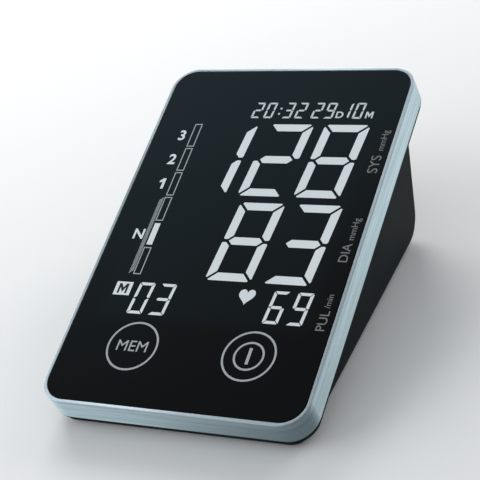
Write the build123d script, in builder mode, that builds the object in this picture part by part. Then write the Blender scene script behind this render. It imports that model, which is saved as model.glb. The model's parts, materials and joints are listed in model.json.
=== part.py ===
"""Table-top upper-arm blood pressure monitor with a touch display. Millimetres.

+X is right, +Y away from the user, +Z up. The origin is on the table, under the middle of the
whole object. A display slab leans back by `tilt` on a hollow wedge. Places on the slab are given
as (across, up) from the middle of the lens, on a layer at a depth behind the lens's face. Heights
in the wedge are counted from its base plane, which the rubber feet hold off the table.
"""

import os
from math import cos, radians, sin, tan

from build123d import *

os.makedirs("parts", exist_ok=True)

# Display slab
tilt = 17.5
lens_width = 99.0
lens_height = 152.0
lens_thickness = 2.0
lens_corner = 8.5
lens_bevel = 0.3
lens_gap = 0.12
rim_width = 1.2
rim_round = 0.4
bezel_depth = 11.0
bezel_wall = 2.0
bezel_back_bevel = 0.5
tape_thickness = 0.3
tape_width = 2.2
ledge_thickness = 1.3
window_side = 3.5
window_end = 11.0
window_corner = 4.0

# Rear housing
shell_inset = 0.7
shell_edge = 2.0
shell_bevel = 0.6
wall = 2.0
wedge_inset = 2.5
overhang = 16.0
rear_angle = 76.5
heel_round = 12.0
wedge_side_round = 3.0
lip_height = 1.5
lip_thickness = 1.2
lip_gap = 0.15

# Rubber feet
foot_radius = 4.0
foot_proud = 1.2
foot_recess = 0.8
foot_gap = 0.1
foot_bevel = 0.5
foot_from_side = 7.2
foot_from_toe = 22.8
foot_from_heel = 19.75

# Screws that join the housing to the bezel, and the posts they run in
screw_from_side = 6.5
screw_from_end = 7.0
post_radius = 3.5
post_split_depth = 9.0
screw_radius = 1.25
screw_tip_depth = 4.4
pilot_radius = 1.1
screw_hole_radius = 1.45
head_radius = 2.3
head_height = 1.5
head_room_radius = 2.6
head_seat_depth = 11.2
drive_length = 2.6
drive_slot = 0.55
drive_depth = 0.8

# Main board and the screws that hold it to the ledge
board_thickness = 1.6
board_side_gap = 3.8
board_end_gap = 2.8
board_corner = 2.0
board_notch_radius = 4.3
board_screw_across = 24.0
board_screw_from_end = 6.5
board_post_radius = 2.5
board_screw_radius = 1.0
board_pilot_radius = 0.85
board_hole_radius = 1.2
board_head_radius = 1.9
board_head_height = 1.2
board_screw_bite = 4.0
board_head_gap = 0.3

# Display module
cell_glass_from_side = 6.5
cell_glass_from_top = 13.7
cell_glass_from_foot = 35.3
cell_glass_thickness = 2.2
cell_front_depth = 2.4
guide_from_side = 3.5
guide_from_end = 2.0
guide_thickness = 3.0
holder_wall = 1.2
holder_front_depth = 3.2
fit_gap = 0.15
strip_width = 1.8
strip_from_end = 5.5
strip_edge = 0.7

# Touch keys
key_spacing = 45.0
key_offset = 1.0
key_from_foot = 23.5
key_ring_outer = 10.0
key_ring_inner = 8.6
electrode_radius = 6.0
electrode_hole = 3.0

# Battery bay, cells and contacts
cell_radius = 7.25
cell_length = 50.5
nub_radius = 2.75
nub_height = 1.2
cell_bevel = 0.8
cell_pitch = 15.2
cell_count = 4
cell_lift = 0.3
bay_from_tube = 0.42
bay_side_room = 1.5
bay_from_heel = 8.85
bay_wall = 1.5
bay_roof = 1.3
bay_roof_gap = 0.4
contact_thickness = 0.4
contact_width = 9.0
contact_height = 10.0
contact_corner = 0.8
spring_length = 4.6
spring_span = 4.4
spring_leaf = 0.35
spring_width = 5.0

# Battery door
door_gap = 0.25
door_rise = 9.0
tongue_reach = 1.6
tongue_root = 2.0
lip_width = 6.0
tongue_thickness = 1.2
tongue_gap = 0.15
grip_width = 18.0
grip_height = 1.2
grip_depth = 0.5
grip_pitch = 2.6
grip_count = 5

# Air pump
motor_radius = 7.75
motor_length = 26.0
motor_bevel = 0.8
sleeve_thickness = 1.0
sleeve_length = 20.0
pump_clearance = 0.1
saddle_gap = 0.05
pump_from_manifold = 5.4
nozzle_radius = 1.2
nozzle_hole = 0.6
nozzle_length = 2.5
pump_corner = 3.0
cover_thickness = 4.0
case_length = 12.0
case_wall = 1.5
diaphragm_thickness = 1.5
shaft_radius = 1.0
shaft_gap = 0.05
crank_radius = 4.5
crank_length = 5.0
crank_throw = 1.0
crank_gap = 0.4
saddle_thickness = 2.0
saddle_rise = 5.0

# Release valve
valve_radius = 4.0
valve_length = 20.0
valve_left = 6.0
valve_from_socket = 14.5
valve_height = 6.3
plunger_radius = 1.8
plunger_length = 7.0
plunger_travel = 1.0
plunger_gap = 0.06
cap_thickness = 2.5

# Air path
socket_from_bay = 10.0
socket_height = 9.0
socket_flange_radius = 5.6
socket_flange = 1.0
socket_barrel_radius = 4.2
socket_bore_radius = 2.5
socket_bore_length = 8.0
socket_length = 9.0
nozzle_gap = 0.5
manifold_size = 4.4
manifold_corner = 0.8
tube_radius = 2.1
tube_bore = 1.25
tube_bite = 2.1
tube_bend = 4.5

# Sensor, buzzer and the board's own parts
sensor_width = 9.0
sensor_height = 8.0
sensor_thickness = 4.6
sensor_left = -8.0
buzzer_radius = 6.5
buzzer_thickness = 4.0
buzzer_hole = 1.0
buzzer_from_side = 15.5
buzzer_from_foot = 21.0
chip_thickness = 1.4

# Mains and USB sockets on their own board, at the left side
port_height = 9.0
port_board_thickness = 1.2
port_board_width = 11.0
port_board_before_mains = 10.0
port_board_past_usb = 13.0
mains_from_socket = 26.0
mains_width = 9.0
mains_length = 12.5
mains_bore = 2.9
mains_pin = 1.0
mains_hole = 3.2
usb_from_mains = 22.0
usb_width = 7.7
usb_opening_height = 3.9
usb_length = 9.0
usb_shell = 0.35
usb_tongue = 1.2
port_gap = 0.3

# Sizes and places that follow from the ones above
lean_cos = cos(radians(tilt))
lean_sin = sin(radians(tilt))
rear_tan = tan(radians(rear_angle))
rear_sin = sin(radians(rear_angle))
bezel_width = lens_width + 2 * (lens_gap + rim_width)
bezel_height = lens_height + 2 * (lens_gap + rim_width)
bezel_corner = lens_corner + lens_gap + rim_width
ledge_depth = lens_thickness + tape_thickness
ledge_back = ledge_depth + ledge_thickness
slab_depth = bezel_depth + shell_edge
inner_width = bezel_width - 2 * bezel_wall
inner_height = bezel_height - 2 * bezel_wall
inner_corner = bezel_corner - bezel_wall
window_width = lens_width - 2 * window_side
window_height = lens_height - 2 * window_end
board_width = inner_width - 2 * board_side_gap
board_height = inner_height - 2 * board_end_gap
screw_across = lens_width / 2 - screw_from_side
screw_up = lens_height / 2 - screw_from_end
board_screw_up = lens_height / 2 - board_screw_from_end
cell_glass_width = lens_width - 2 * cell_glass_from_side
cell_glass_height = lens_height - cell_glass_from_top - cell_glass_from_foot
display_up = (cell_glass_from_foot - cell_glass_from_top) / 2
guide_width = cell_glass_width - 2 * guide_from_side
guide_height = cell_glass_height - 2 * guide_from_end
strip_length = cell_glass_height - 2 * strip_from_end
key_up = key_from_foot - lens_height / 2
buzzer_across = lens_width / 2 - buzzer_from_side
buzzer_up = buzzer_from_foot - lens_height / 2
shell_width = bezel_width - 2 * shell_inset
shell_height = bezel_height - 2 * shell_inset
shell_corner = bezel_corner - shell_inset
wedge_width = shell_width - 2 * wedge_inset
wedge_top = lens_height / 2 - overhang
base = foot_proud
panel_z = base + shell_height / 2 * lean_sin + slab_depth * lean_cos
front_reach = bezel_height / 2 * lean_cos
rear_reach = bezel_height / 2 * lean_cos + bezel_depth * lean_sin
panel_y = (front_reach - rear_reach) / 2
panel = Plane(origin=(0, panel_y, panel_z), x_dir=(1, 0, 0), z_dir=(0, -lean_sin, lean_cos))
board_back = post_split_depth + board_thickness


def layer(depth):
    """The plane parallel to the lens at this depth behind its face."""
    return panel.offset(-depth)


def side_point(up, depth):
    """(y, z) of a place up the slab and behind the lens's face."""
    return (
        panel_y + up * lean_cos + depth * lean_sin,
        panel_z + up * lean_sin - depth * lean_cos,
    )


def up_at(y, depth):
    """How far up the slab a place at this y and depth lies."""
    return (y - panel_y - depth * lean_sin) / lean_cos


toe_y = side_point(-shell_height / 2, slab_depth)[0]
rear_edge_y, rear_edge_z = side_point(wedge_top, slab_depth)


def rear_y(z, inset):
    """y of the wedge's rear face, moved in by inset, at this height."""
    return rear_edge_y - (rear_edge_z - z) / rear_tan - inset / rear_sin


def wedge_side(inset):
    """The wedge's side view as a flat sketch in (y, z), moved in by inset at toe, base and rear."""
    toe_up = -shell_height / 2 + inset
    floor = base + inset
    toe_depth = (panel_z + toe_up * lean_sin - floor) / lean_cos
    heel = (rear_y(floor, inset), floor)
    face_run = rear_edge_y - panel_y - (rear_edge_z - panel_z) / rear_tan - inset / rear_sin
    head_up = face_run / (lean_cos - lean_sin / rear_tan)
    with BuildSketch() as side:
        with BuildLine():
            Polyline(
                side_point(toe_up, 0),
                side_point(toe_up, toe_depth),
                heel,
                side_point(head_up, 0),
                close=True,
            )
        make_face()
        fillet(side.vertices().sort_by_distance(Vector(*heel))[0], heel_round - inset)
    return side.sketch


facing = Axis(panel.origin, panel.z_dir)


def depth_of(point):
    """How far behind the lens's face a point lies."""
    return (panel.origin - point).dot(panel.z_dir)


def wedge_block(inset, side_round):
    """The wedge as a solid moved in by inset, cut to the slab's outline and open at the front."""
    with BuildPart() as block:
        with BuildSketch(Plane.YZ):
            add(wedge_side(inset))
        extrude(amount=wedge_width / 2 - inset, both=True)
        side_edges = block.faces().filter_by(Axis.X).edges()
        fillet(side_edges.filter_by(lambda edge: depth_of(edge.center()) > slab_depth), side_round)
        with BuildSketch(layer(bezel_depth)):
            RectangleRounded(
                wedge_width - 2 * inset,
                shell_height - 2 * inset,
                shell_corner - wedge_inset - inset,
            )
        extrude(amount=-shell_height, mode=Mode.INTERSECT)
    return block.part


def write(built, name):
    """Label a finished piece and write its STEP file."""
    built.part.label = name
    export_step(built.part, f"parts/{name}.step")


# The lens is one sheet of black-backed glass. Both keys are touch areas behind it.
with BuildPart() as front_lens:
    with BuildSketch(layer(0)):
        RectangleRounded(lens_width, lens_height, lens_corner)
    extrude(amount=-lens_thickness)
    chamfer(front_lens.faces().sort_by(facing)[-1].edges(), lens_bevel)
write(front_lens, "front_lens")

# Double-sided tape holds the lens on the bezel's ledge.
with BuildPart() as lens_tape:
    with BuildSketch(layer(lens_thickness)):
        RectangleRounded(window_width + 2 * tape_width, window_height + 2 * tape_width, window_corner)
        RectangleRounded(window_width, window_height, window_corner, mode=Mode.SUBTRACT)
    extrude(amount=-tape_thickness)
write(lens_tape, "lens_tape")

# The bezel is a deep moulded frame with a bright rim. Its ledge carries the lens in front, and the
# posts for the housing screws and the board screws behind.
corner_posts = GridLocations(2 * screw_across, 2 * screw_up, 2, 2)
board_posts = GridLocations(2 * board_screw_across, 2 * board_screw_up, 2, 2)
with BuildPart() as bezel_frame:
    with BuildSketch(layer(0)):
        RectangleRounded(bezel_width, bezel_height, bezel_corner)
    extrude(amount=-bezel_depth)
    fillet(bezel_frame.faces().sort_by(facing)[-1].edges(), rim_round)
    chamfer(bezel_frame.faces().sort_by(facing)[0].edges(), bezel_back_bevel)
    with BuildSketch(layer(0)):
        RectangleRounded(lens_width + 2 * lens_gap, lens_height + 2 * lens_gap, lens_corner + lens_gap)
    extrude(amount=-ledge_depth, mode=Mode.SUBTRACT)
    with BuildSketch(layer(ledge_depth)):
        RectangleRounded(window_width, window_height, window_corner)
    extrude(amount=-ledge_thickness, mode=Mode.SUBTRACT)
    with BuildSketch(layer(ledge_back)):
        RectangleRounded(inner_width, inner_height, inner_corner)
    extrude(amount=-(bezel_depth - ledge_back), mode=Mode.SUBTRACT)
    with BuildSketch(layer(ledge_back)):
        with corner_posts:
            Circle(post_radius)
        with board_posts:
            Circle(board_post_radius)
    extrude(amount=-(post_split_depth - ledge_back))
    with BuildSketch(layer(screw_tip_depth)):
        with corner_posts:
            Circle(pilot_radius)
    extrude(amount=-(post_split_depth - screw_tip_depth), mode=Mode.SUBTRACT)
    with BuildSketch(layer(post_split_depth - board_screw_bite)):
        with board_posts:
            Circle(board_pilot_radius)
    extrude(amount=-board_screw_bite, mode=Mode.SUBTRACT)
write(bezel_frame, "bezel_frame")

# Air path along X: the cuff socket in the left side, then the manifold
left_face = -wedge_width / 2
socket_end = left_face + socket_length
manifold_half = manifold_size / 2
manifold_reach = manifold_half + nozzle_length
manifold_x = socket_end + nozzle_length + nozzle_gap + manifold_reach

# Battery bay: the cells lie side by side along Y, over a door in the wedge's base, and the pump's
# tube passes the bay on the left
bay_inner_half = cell_count * cell_pitch / 2 + bay_side_room
door_half = bay_inner_half - tongue_reach - 2 * tongue_gap
bay_side = manifold_x + tube_radius + bay_from_tube + bay_wall + bay_inner_half
bay_length = 2 * contact_thickness + spring_length + cell_length
bay_rear = rear_y(base, 0) - bay_from_heel
bay_front = bay_rear - bay_length
bay_middle = (bay_front + bay_rear) / 2
cell_axis_z = base + wall + cell_lift + cell_radius
bay_ceiling = cell_axis_z + cell_radius + bay_roof_gap
bay_top = bay_ceiling + bay_roof
ledge_top = base + wall
tongue_low = ledge_top + tongue_gap
foot_across = wedge_width / 2 - foot_from_side
foot_front = toe_y + foot_from_toe
foot_rear = rear_y(base, 0) - foot_from_heel
foot_spots = [(side * foot_across, y) for side in (-1, 1) for y in (foot_front, foot_rear)]
lip_spots = [
    (bay_side + (place - cell_count / 2) * cell_pitch, bay_front) for place in range(1, cell_count)
]

# Air path along Y and Z: socket, manifold and sensor share one y, and the valve lies before them
socket_y = bay_front - socket_from_bay
socket_z = base + socket_height
valve_y = socket_y - valve_from_socket
valve_z = base + valve_height
sensor_depth = board_back + sensor_thickness / 2
sensor_up = up_at(socket_y, sensor_depth)
sensor_y, sensor_z = side_point(sensor_up, sensor_depth)

# Pump: it lies along X on the bay's roof, against the wedge's rear face
pump_z = bay_top + pump_clearance + sleeve_thickness + motor_radius
pump_y = rear_y(pump_z, wall) - (sleeve_thickness + motor_radius + port_gap) / rear_sin
pump_side = 2 * motor_radius
pump_left = manifold_x + pump_from_manifold
cover_left = pump_left + nozzle_length
diaphragm_left = cover_left + cover_thickness
case_left = diaphragm_left + diaphragm_thickness
motor_left = case_left + case_length
sleeve_left = motor_left + (motor_length - sleeve_length) / 2

# Mains and USB sockets stand on their own board inside the left side
port_z = base + port_height
port_inner = left_face + wall
mains_y = socket_y + mains_from_socket
usb_y = mains_y + usb_from_mains
port_board_front = mains_y - port_board_before_mains
port_board_rear = usb_y + port_board_past_usb


def rod(start, end, place, radius):
    """A round bar along X, at a (y, z) place."""
    with BuildPart() as bar:
        with BuildSketch(Plane.YZ.offset(start)):
            with Locations(place):
                Circle(radius)
        extrude(amount=end - start)
    return bar.part


def block(start, end, place, width, height, corner):
    """A bar along X with a rounded rectangular section, at a (y, z) place."""
    with BuildPart() as bar:
        with BuildSketch(Plane.YZ.offset(start)):
            with Locations(place):
                RectangleRounded(width, height, corner)
        extrude(amount=end - start)
    return bar.part


def door_skin(half_width, front, rise, thickness):
    """The wedge's skin under and behind the bay, this thick, as wide and high as given."""
    with BuildPart() as skin:
        with BuildSketch(Plane.YZ.offset(bay_side)):
            add(wedge_side(0))
            add(wedge_side(thickness), mode=Mode.SUBTRACT)
            with Locations((front, base)):
                Rectangle(shell_height, rise, align=Align.MIN, mode=Mode.INTERSECT)
        extrude(amount=half_width, both=True)
    return skin.part


def door_tongues(gap, lip_run):
    """Side tongues and front lips of the door with their roots, grown by gap on every side."""
    tongue_width = tongue_reach + tongue_root
    tongue_middle = door_half + tongue_reach - tongue_width / 2
    root_middle = door_half - door_gap - tongue_root / 2
    with BuildPart() as tongues:
        with BuildSketch(Plane.XY.offset(tongue_low - gap)):
            with Locations((bay_side, bay_front)):
                with GridLocations(2 * tongue_middle, 0, 2, 1):
                    Rectangle(tongue_width + 2 * gap, shell_height, align=(Align.CENTER, Align.MIN))
            with Locations(*[(x, y - tongue_reach - gap) for x, y in lip_spots]):
                Rectangle(lip_width + 2 * gap, lip_run, align=(Align.CENTER, Align.MIN))
        extrude(amount=tongue_thickness + 2 * gap)
        with BuildSketch(Plane.XY.offset(ledge_top - door_gap)):
            with Locations((bay_side, bay_front + door_gap)):
                with GridLocations(2 * root_middle, 0, 2, 1):
                    Rectangle(tongue_root, shell_height, align=(Align.CENTER, Align.MIN))
            with Locations(*[(x, y + door_gap + tongue_root / 2) for x, y in lip_spots]):
                Rectangle(lip_width, tongue_root)
        extrude(amount=2 * door_gap)
        add(wedge_block(-gap, wedge_side_round), mode=Mode.INTERSECT)
    return tongues.part


# The rear housing is one hollow moulding: a tray behind the slab and a wedge under it. The lip
# fits inside the bezel, the posts take the screws, and the tub inside the base holds the cells.
lip_width_outer = inner_width - 2 * lip_gap
lip_height_outer = inner_height - 2 * lip_gap
lip_corner = inner_corner - lip_gap
with BuildPart() as rear_housing:
    with BuildSketch(layer(bezel_depth)):
        RectangleRounded(shell_width, shell_height, shell_corner)
    extrude(amount=-shell_edge)
    chamfer(rear_housing.faces().sort_by(facing)[0].edges(), shell_bevel)
    add(wedge_block(0, wedge_side_round))
    add(wedge_block(wall, wedge_side_round - wall), mode=Mode.SUBTRACT)
    with BuildSketch(layer(bezel_depth - lip_height)):
        RectangleRounded(lip_width_outer, lip_height_outer, lip_corner)
        RectangleRounded(
            lip_width_outer - 2 * lip_thickness,
            lip_height_outer - 2 * lip_thickness,
            lip_corner - lip_thickness,
            mode=Mode.SUBTRACT,
        )
    extrude(amount=-lip_height)
    # Screw posts, cut to the outside of the wedge where they pass through it
    with BuildPart(mode=Mode.PRIVATE) as low_posts:
        with BuildSketch(layer(bezel_depth)):
            with Locations((-screw_across, -screw_up), (screw_across, -screw_up)):
                Circle(post_radius)
        extrude(amount=-shell_height)
        add(wedge_block(0, wedge_side_round), mode=Mode.INTERSECT)
    add(low_posts.part)
    with BuildSketch(layer(post_split_depth)):
        with corner_posts:
            Circle(post_radius)
    extrude(amount=-(slab_depth - post_split_depth))
    with BuildSketch(layer(head_seat_depth)):
        with corner_posts:
            Circle(head_room_radius)
    extrude(amount=-shell_height, mode=Mode.SUBTRACT)
    with BuildSketch(layer(post_split_depth)):
        with corner_posts:
            Circle(screw_hole_radius)
    extrude(amount=-(head_seat_depth - post_split_depth), mode=Mode.SUBTRACT)
    with BuildSketch(layer(bezel_depth)):
        with Locations((-board_screw_across, board_screw_up), (board_screw_across, board_screw_up)):
            Circle(board_head_radius + board_head_gap)
    extrude(amount=bezel_depth - board_back - board_head_height - board_head_gap, mode=Mode.SUBTRACT)
    # Battery tub, its liner behind the door's heel, and the door's opening
    with BuildSketch(Plane.XY.offset(ledge_top)):
        with Locations((bay_side, bay_middle)):
            Rectangle(2 * (bay_inner_half + bay_wall), bay_length + 2 * bay_wall)
    extrude(amount=bay_top - ledge_top)
    add(
        door_skin(
            bay_inner_half + bay_wall,
            bay_rear,
            door_rise + door_gap + bay_wall,
            wall + door_gap + bay_wall,
        )
    )
    with BuildSketch(Plane.XY.offset(ledge_top)):
        with Locations((bay_side, bay_middle)):
            Rectangle(2 * bay_inner_half, bay_length)
    extrude(amount=bay_ceiling - ledge_top, mode=Mode.SUBTRACT)
    add(door_skin(door_half, bay_front, door_rise + door_gap, wall + door_gap), mode=Mode.SUBTRACT)
    add(door_tongues(tongue_gap, shell_height), mode=Mode.SUBTRACT)
    # Saddles on the bay's roof for the pump, whose cut stops short of the roof itself
    with BuildSketch(Plane.YZ.offset(sleeve_left)):
        with Locations((pump_y, bay_top + saddle_rise / 2)):
            Rectangle(2 * motor_radius, saddle_rise)
        with Locations((pump_y, pump_z)):
            Circle(motor_radius + sleeve_thickness + saddle_gap, mode=Mode.SUBTRACT)
    saddle = extrude(amount=saddle_thickness)
    add(saddle.moved(Location((sleeve_length - saddle_thickness, 0, 0))))
    # Recesses for the feet
    with BuildSketch(Plane.XY.offset(base)):
        with Locations(*foot_spots):
            Circle(foot_radius + foot_gap)
    extrude(amount=foot_recess, mode=Mode.SUBTRACT)
    # Openings in the left side for the cuff, mains and USB sockets
    add(
        rod(left_face, left_face + socket_flange, (socket_y, socket_z), socket_flange_radius + foot_gap),
        mode=Mode.SUBTRACT,
    )
    add(
        rod(left_face, port_inner, (socket_y, socket_z), socket_barrel_radius + foot_gap),
        mode=Mode.SUBTRACT,
    )
    add(rod(left_face, port_inner, (mains_y, port_z), mains_hole), mode=Mode.SUBTRACT)
    add(
        block(
            left_face,
            port_inner,
            (usb_y, port_z),
            usb_width + 2 * port_gap,
            usb_opening_height + 2 * port_gap,
            port_gap,
        ),
        mode=Mode.SUBTRACT,
    )
write(rear_housing, "rear_housing")

# The door slides out to the rear. Its tongues run on ledges inside the base.
with BuildPart() as battery_door:
    add(door_skin(door_half - door_gap, bay_front + door_gap, door_rise, wall))
    add(door_tongues(0, tongue_reach + tongue_root))
    with BuildSketch(Plane.XY.offset(base)):
        with Locations((bay_side, bay_rear - grip_count * grip_pitch)):
            with GridLocations(0, grip_pitch, 1, grip_count):
                SlotOverall(grip_width, grip_height)
    extrude(amount=grip_depth, mode=Mode.SUBTRACT)
write(battery_door, "battery_door")

# Four rubber feet sit in recesses of the base.
with BuildPart() as rubber_feet:
    with BuildSketch(Plane.XY):
        with Locations(*foot_spots):
            Circle(foot_radius)
    extrude(amount=base + foot_recess)
    chamfer(rubber_feet.faces().filter_by(Axis.Z).group_by(Axis.Z)[0].edges(), foot_bevel)
write(rubber_feet, "rubber_feet")

# Housing screws: pan heads at the bottom of the tunnels, threads in the bezel's posts
with BuildPart() as housing_screws:
    with BuildSketch(layer(head_seat_depth)):
        with corner_posts:
            Circle(head_radius)
    extrude(amount=-head_height)
    with BuildSketch(layer(screw_tip_depth)):
        with corner_posts:
            Circle(screw_radius)
    extrude(amount=-(head_seat_depth - screw_tip_depth))
    with BuildSketch(layer(head_seat_depth + head_height - drive_depth)):
        with corner_posts:
            Rectangle(drive_length, drive_slot)
            Rectangle(drive_slot, drive_length)
    extrude(amount=-drive_depth, mode=Mode.SUBTRACT)
write(housing_screws, "housing_screws")

# The main board hangs on four posts of the ledge and clears the housing's corner posts.
with BuildPart() as main_board:
    with BuildSketch(layer(post_split_depth)):
        RectangleRounded(board_width, board_height, board_corner)
        with corner_posts:
            Circle(board_notch_radius, mode=Mode.SUBTRACT)
        with board_posts:
            Circle(board_hole_radius, mode=Mode.SUBTRACT)
    extrude(amount=-board_thickness)
write(main_board, "main_board")

with BuildPart() as board_screws:
    with BuildSketch(layer(board_back)):
        with board_posts:
            Circle(board_head_radius)
    extrude(amount=-board_head_height)
    with BuildSketch(layer(post_split_depth - board_screw_bite)):
        with board_posts:
            Circle(board_screw_radius)
    extrude(amount=-(board_screw_bite + board_thickness))
write(board_screws, "board_screws")

# Display module: a negative glass cell over a light guide, both in a holder on the main board
display = Locations((0, display_up))
cell_back_depth = cell_front_depth + cell_glass_thickness
strip_across = cell_glass_width / 2 - strip_edge - strip_width / 2
strips = Locations((-strip_across, display_up), (strip_across, display_up))
with BuildPart() as display_cell:
    with BuildSketch(layer(cell_front_depth)):
        with display:
            Rectangle(cell_glass_width, cell_glass_height)
    extrude(amount=-cell_glass_thickness)
write(display_cell, "display_cell")

with BuildPart() as backlight_guide:
    with BuildSketch(layer(cell_back_depth)):
        with display:
            Rectangle(guide_width, guide_height)
    extrude(amount=-guide_thickness)
write(backlight_guide, "backlight_guide")

with BuildPart() as strip_connectors:
    with BuildSketch(layer(cell_back_depth)):
        with strips:
            Rectangle(strip_width, strip_length)
    extrude(amount=-(post_split_depth - cell_back_depth))
write(strip_connectors, "strip_connectors")

with BuildPart() as display_holder:
    with BuildSketch(layer(holder_front_depth)):
        with display:
            Rectangle(
                cell_glass_width + 2 * (fit_gap + holder_wall),
                cell_glass_height + 2 * (fit_gap + holder_wall),
            )
    extrude(amount=-(post_split_depth - holder_front_depth))
    with BuildSketch(layer(holder_front_depth)):
        with display:
            Rectangle(cell_glass_width + 2 * fit_gap, cell_glass_height + 2 * fit_gap)
    extrude(amount=-(cell_back_depth - holder_front_depth), mode=Mode.SUBTRACT)
    with BuildSketch(layer(cell_back_depth)):
        with display:
            Rectangle(guide_width + 2 * fit_gap, guide_height + 2 * fit_gap)
        with strips:
            Rectangle(strip_width + 2 * fit_gap, strip_length + 2 * fit_gap)
    extrude(amount=-(post_split_depth - cell_back_depth), mode=Mode.SUBTRACT)
write(display_holder, "display_holder")

# Each key has a clear ring that carries light to the lens, and a foam electrode inside it.
keys = Locations(
    (key_offset - key_spacing / 2, key_up),
    (key_offset + key_spacing / 2, key_up),
)
with BuildPart() as key_light_rings:
    with BuildSketch(layer(lens_thickness)):
        with keys:
            Circle(key_ring_outer)
            Circle(key_ring_inner, mode=Mode.SUBTRACT)
    extrude(amount=-(post_split_depth - lens_thickness))
write(key_light_rings, "key_light_rings")

with BuildPart() as touch_electrodes:
    with BuildSketch(layer(lens_thickness)):
        with keys:
            Circle(electrode_radius)
            Circle(electrode_hole, mode=Mode.SUBTRACT)
    extrude(amount=-(post_split_depth - lens_thickness))
write(touch_electrodes, "touch_electrodes")

# Parts soldered to the back of the main board: (across, up, width, height)
chips = [
    (20.0, 24.0, 14.0, 14.0),
    (-18.0, 22.0, 10.0, 10.0),
    (34.0, 8.0, 6.0, 12.0),
    (0.0, 8.0, 8.0, 5.0),
    (-34.0, 20.0, 5.0, 9.0),
    (2.0, -58.0, 12.0, 6.0),
]
with BuildPart() as board_chips:
    with BuildSketch(layer(board_back)):
        for across, up, width, height in chips:
            with Locations((across, up)):
                Rectangle(width, height)
    extrude(amount=-chip_thickness)
write(board_chips, "board_chips")

with BuildPart() as buzzer:
    with BuildSketch(layer(board_back)):
        with Locations((buzzer_across, buzzer_up)):
            Circle(buzzer_radius)
    extrude(amount=-buzzer_thickness)
    with BuildSketch(layer(board_back + buzzer_thickness / 2)):
        with Locations((buzzer_across, buzzer_up)):
            Circle(buzzer_hole)
    extrude(amount=-buzzer_thickness / 2, mode=Mode.SUBTRACT)
write(buzzer, "buzzer")

with BuildPart() as pressure_sensor:
    with BuildSketch(layer(board_back)):
        with Locations((sensor_left + sensor_width / 2, sensor_up)):
            Rectangle(sensor_width, sensor_height)
    extrude(amount=-sensor_thickness)
    add(rod(sensor_left - nozzle_length, sensor_left, (sensor_y, sensor_z), nozzle_radius))
    add(
        rod(sensor_left - nozzle_length, sensor_left, (sensor_y, sensor_z), nozzle_hole),
        mode=Mode.SUBTRACT,
    )
write(pressure_sensor, "pressure_sensor")

# Cells: every second one is turned round. Each negative end presses on a bowed spring.
cell_places = [bay_side + (place - (cell_count - 1) / 2) * cell_pitch for place in range(cell_count)]
spring_room = contact_thickness + spring_length
for place, cell_x in enumerate(cell_places):
    turned = place % 2
    cell_front = bay_front + (contact_thickness if turned else spring_room)
    nub_end = cell_front if turned else cell_front + cell_length
    body_front = cell_front + (nub_height if turned else 0)
    with BuildPart() as cell:
        with BuildSketch(Plane.XZ.offset(-body_front)):
            with Locations((cell_x, cell_axis_z)):
                Circle(cell_radius)
        extrude(amount=-(cell_length - nub_height))
        chamfer(cell.edges(), cell_bevel)
        with BuildSketch(Plane.XZ.offset(-nub_end)):
            with Locations((cell_x, cell_axis_z)):
                Circle(nub_radius)
        extrude(amount=-nub_height if turned else nub_height)
    write(cell, f"battery_cell_{place + 1}")

# Contact plates stand on the bay's end walls: single ones at the outer front cells, wide ones
# that join two cells elsewhere.
front_plates = [(cell_places[0], contact_width), (cell_places[-1], contact_width)]
front_plates.append((bay_side, contact_width + cell_pitch))
rear_plates = [(bay_side + side * cell_pitch, contact_width + cell_pitch) for side in (-1, 1)]
with BuildPart() as contact_plates:
    with BuildSketch(Plane.XZ.offset(-bay_front)):
        for plate_x, plate_width in front_plates:
            with Locations((plate_x, cell_axis_z)):
                RectangleRounded(plate_width, contact_height, contact_corner)
    extrude(amount=-contact_thickness)
    with BuildSketch(Plane.XZ.offset(-bay_rear)):
        for plate_x, plate_width in rear_plates:
            with Locations((plate_x, cell_axis_z)):
                RectangleRounded(plate_width, contact_height, contact_corner)
    extrude(amount=contact_thickness)
write(contact_plates, "contact_plates")


def contact_bow(cell_x, start, direction):
    """A bowed leaf spring, from a contact plate to a cell's flat end."""
    crown = start + direction * spring_length
    inner = start + direction * (spring_length - spring_leaf)
    with BuildPart() as bow:
        with BuildSketch(Plane.YZ.offset(cell_x - spring_width / 2)):
            with BuildLine():
                ThreePointArc(
                    (start, cell_axis_z + spring_span),
                    (crown, cell_axis_z),
                    (start, cell_axis_z - spring_span),
                )
                ThreePointArc(
                    (start, cell_axis_z + spring_span - spring_leaf),
                    (inner, cell_axis_z),
                    (start, cell_axis_z - spring_span + spring_leaf),
                )
                for side in (-1, 1):
                    Line(
                        (start, cell_axis_z + side * spring_span),
                        (start, cell_axis_z + side * (spring_span - spring_leaf)),
                    )
            make_face()
        extrude(amount=spring_width)
    return bow.part


with BuildPart() as contact_springs:
    for place, cell_x in enumerate(cell_places):
        if place % 2:
            add(contact_bow(cell_x, bay_rear - contact_thickness, -1))
        else:
            add(contact_bow(cell_x, bay_front + contact_thickness, 1))
write(contact_springs, "contact_springs")

# Pump: motor in a rubber sleeve, crank on the motor's shaft, case, diaphragm and cover
pump_place = (pump_y, pump_z)
shaft_hole = shaft_radius + shaft_gap
shaft_bite = motor_length / 3
crank_left = diaphragm_left + diaphragm_thickness + case_wall
with BuildPart() as pump_motor:
    add(rod(motor_left, motor_left + motor_length, pump_place, motor_radius))
    chamfer(pump_motor.faces().sort_by(Axis.X)[-1].edges(), motor_bevel)
    add(rod(motor_left, motor_left + shaft_bite + shaft_gap, pump_place, shaft_hole), mode=Mode.SUBTRACT)
write(pump_motor, "pump_motor")

with BuildPart() as pump_sleeve:
    add(rod(sleeve_left, sleeve_left + sleeve_length, pump_place, motor_radius + sleeve_thickness))
    add(rod(sleeve_left, sleeve_left + sleeve_length, pump_place, motor_radius), mode=Mode.SUBTRACT)
write(pump_sleeve, "pump_sleeve")

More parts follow.
